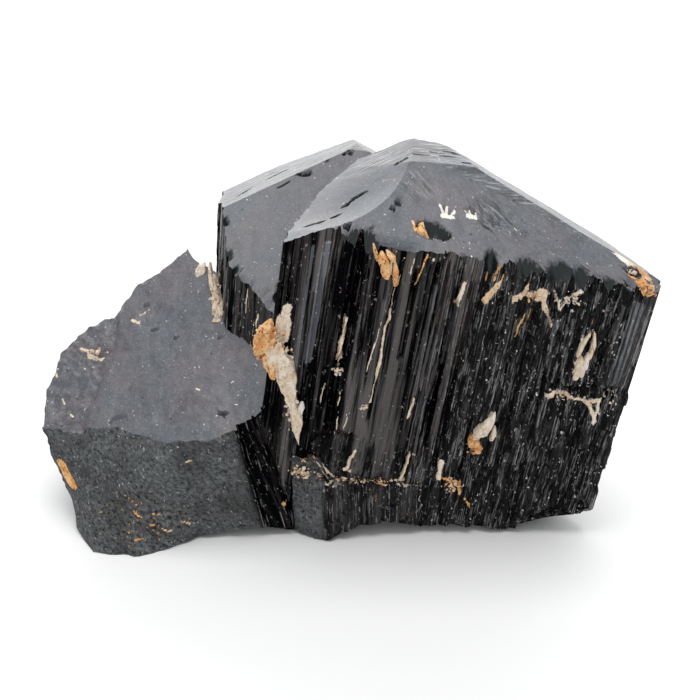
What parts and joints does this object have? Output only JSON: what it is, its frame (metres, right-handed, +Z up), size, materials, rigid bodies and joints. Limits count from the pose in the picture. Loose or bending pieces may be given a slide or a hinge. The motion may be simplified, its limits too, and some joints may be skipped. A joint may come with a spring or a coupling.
{
  "type": "black tourmaline crystal group",
  "caption": "Natural black tourmaline group: a striated prism with a low pyramid top, a parallel crystal behind, a leaning crystal at its side and pale feldspar in the seams.",
  "frame": {"origin": "middle of the bounding box, on the plane that the group stands on", "axes": "+X to the right along the longest side, +Y away from the front, +Z up"},
  "size_m": [0.0804, 0.0466, 0.0503],
  "materials": {
    "black_tourmaline": "glossy striated black crystal, with frosted dark grey pyramid faces",
    "frosted_tourmaline": "matte dark grey crystal top with rough broken sides",
    "cream_feldspar": "rough pale cream feldspar",
    "rusty_feldspar": "rough feldspar stained orange by iron"
  },
  "bodies": {
    "root": {"main_crystal": "black_tourmaline", "left_crystal": "frosted_tourmaline", "front_crystal": "black_tourmaline", "feldspar_front_seam": "cream_feldspar", "feldspar_back_seam": "cream_feldspar", "feldspar_rim_block": "rusty_feldspar", "feldspar_pit_grain": "rusty_feldspar", "feldspar_right_grain": "cream_feldspar", "feldspar_low_grain": "cream_feldspar"}
  },
  "joints": []
}
